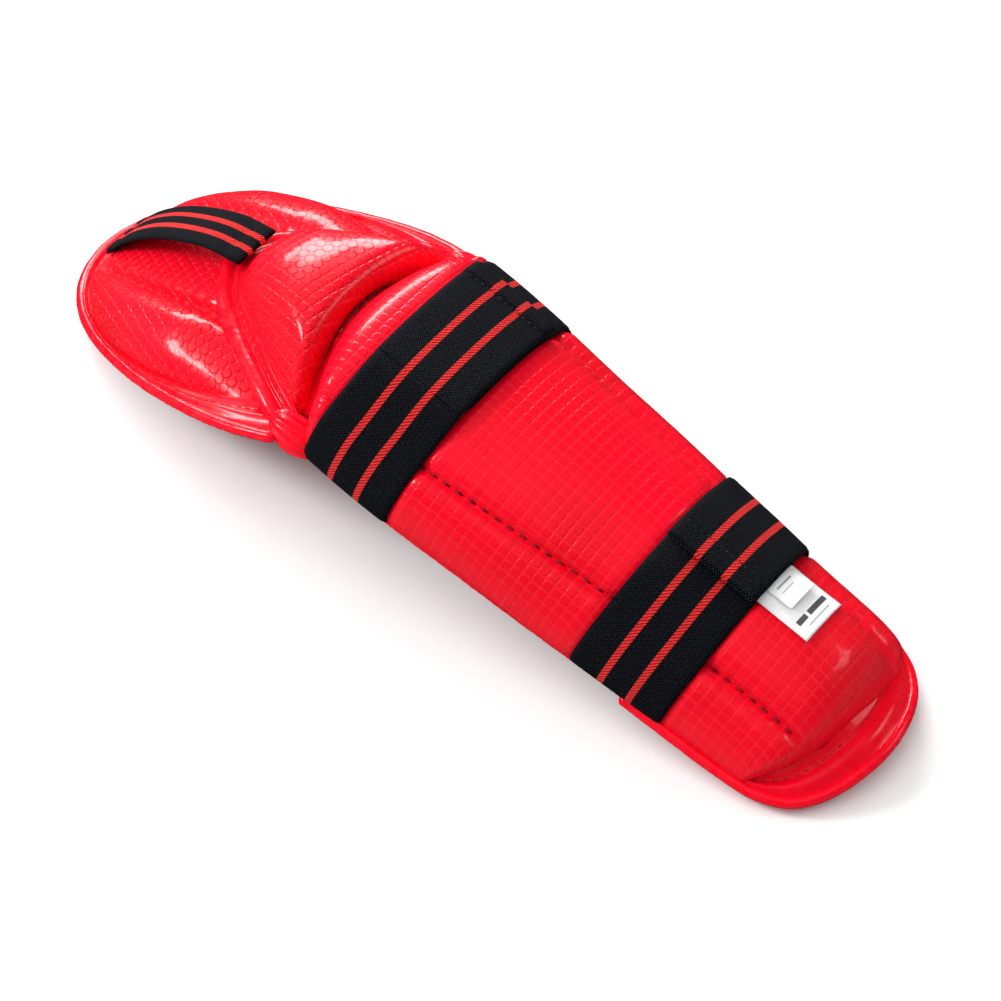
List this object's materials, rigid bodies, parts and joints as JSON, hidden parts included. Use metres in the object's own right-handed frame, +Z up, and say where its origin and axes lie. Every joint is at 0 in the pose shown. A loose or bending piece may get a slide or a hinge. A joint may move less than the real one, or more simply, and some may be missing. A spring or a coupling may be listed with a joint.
{
  "type": "forearm and elbow guard",
  "caption": "Padded vinyl forearm guard with an arched forearm pad, a hinged elbow cap, an elbow elastic and elastic wrap straps with hook-and-loop ends.",
  "frame": {"origin": "middle of the overall box, on the floor that the guard stands on", "axes": "+X towards the wrist along the guard's length, +Y to the left across the arm, +Z up, away from the arm"},
  "size_m": [0.3882, 0.1262, 0.0883],
  "materials": {
    "vinyl": "embossed gloss",
    "piping": "gloss",
    "foam": "matte closed-cell foam",
    "lining": "matte knit",
    "webbing": "woven elastic with two red stripes",
    "hook_and_loop": "matte pile",
    "thread": "satin",
    "label": "woven satin"
  },
  "bodies": {
    "forearm": {"forearm_cover": "vinyl", "forearm_centre_foam": "foam", "forearm_right_foam": "foam", "forearm_left_foam": "foam", "forearm_lining": "lining", "forearm_right_hem": "piping", "forearm_left_hem": "piping", "wrist_flange": "vinyl", "wrist_binding": "piping", "right_channel_stitching": "thread", "left_channel_stitching": "thread", "right_corner_gather": "vinyl", "left_corner_gather": "vinyl", "upper_strap": "webbing", "upper_strap_loop_patch": "hook_and_loop", "lower_strap": "webbing", "lower_strap_loop_patch": "hook_and_loop", "woven_label": "label", "size_label": "label"},
    "bridge": {"bridge_cover": "vinyl", "bridge_centre_foam": "foam", "bridge_right_foam": "foam", "bridge_left_foam": "foam", "bridge_lining": "lining", "bridge_rolled_edge": "piping", "elbow_elastic": "webbing"},
    "elbow_cap": {"cap_cover": "vinyl", "cap_centre_foam": "foam", "cap_right_foam": "foam", "cap_left_foam": "foam", "cap_lining": "lining", "cap_rim_flange": "vinyl", "cap_binding": "piping", "cap_right_stitching": "thread", "cap_left_stitching": "thread"},
    "upper_strap_end": {"upper_strap_tail": "webbing", "upper_strap_hook_patch": "hook_and_loop"},
    "lower_strap_end": {"lower_strap_tail": "webbing", "lower_strap_hook_patch": "hook_and_loop"}
  },
  "joints": [
    {"name": "bridge_fold", "type": "hinge", "parent": "forearm", "child": "bridge", "pos_m": [-0.05061, 0, 0.05007], "axis": [0, -1, 0], "range_deg": [0, 11], "deforming": ["elbow_elastic"]},
    {"name": "elbow_fold", "type": "hinge", "parent": "bridge", "child": "elbow_cap", "pos_m": [-0.05061, 0, 0.05007], "axis": [0, -1, 0], "range_deg": [0, 55]},
    {"name": "upper_strap_peel", "type": "hinge", "parent": "forearm", "child": "upper_strap_end", "pos_m": [-0.00982, -0.02, 0.08178], "axis": [0.9781, 0, -0.2079], "range_deg": [0, 100]},
    {"name": "lower_strap_peel", "type": "hinge", "parent": "forearm", "child": "lower_strap_end", "pos_m": [0.10985, 0.031, 0.05082], "axis": [-0.9781, 0, 0.2079], "range_deg": [0, 100]}
  ],
  "couplings": [
    {"joint": "bridge_fold", "follows": "elbow_fold", "ratio": 0.2}
  ]
}
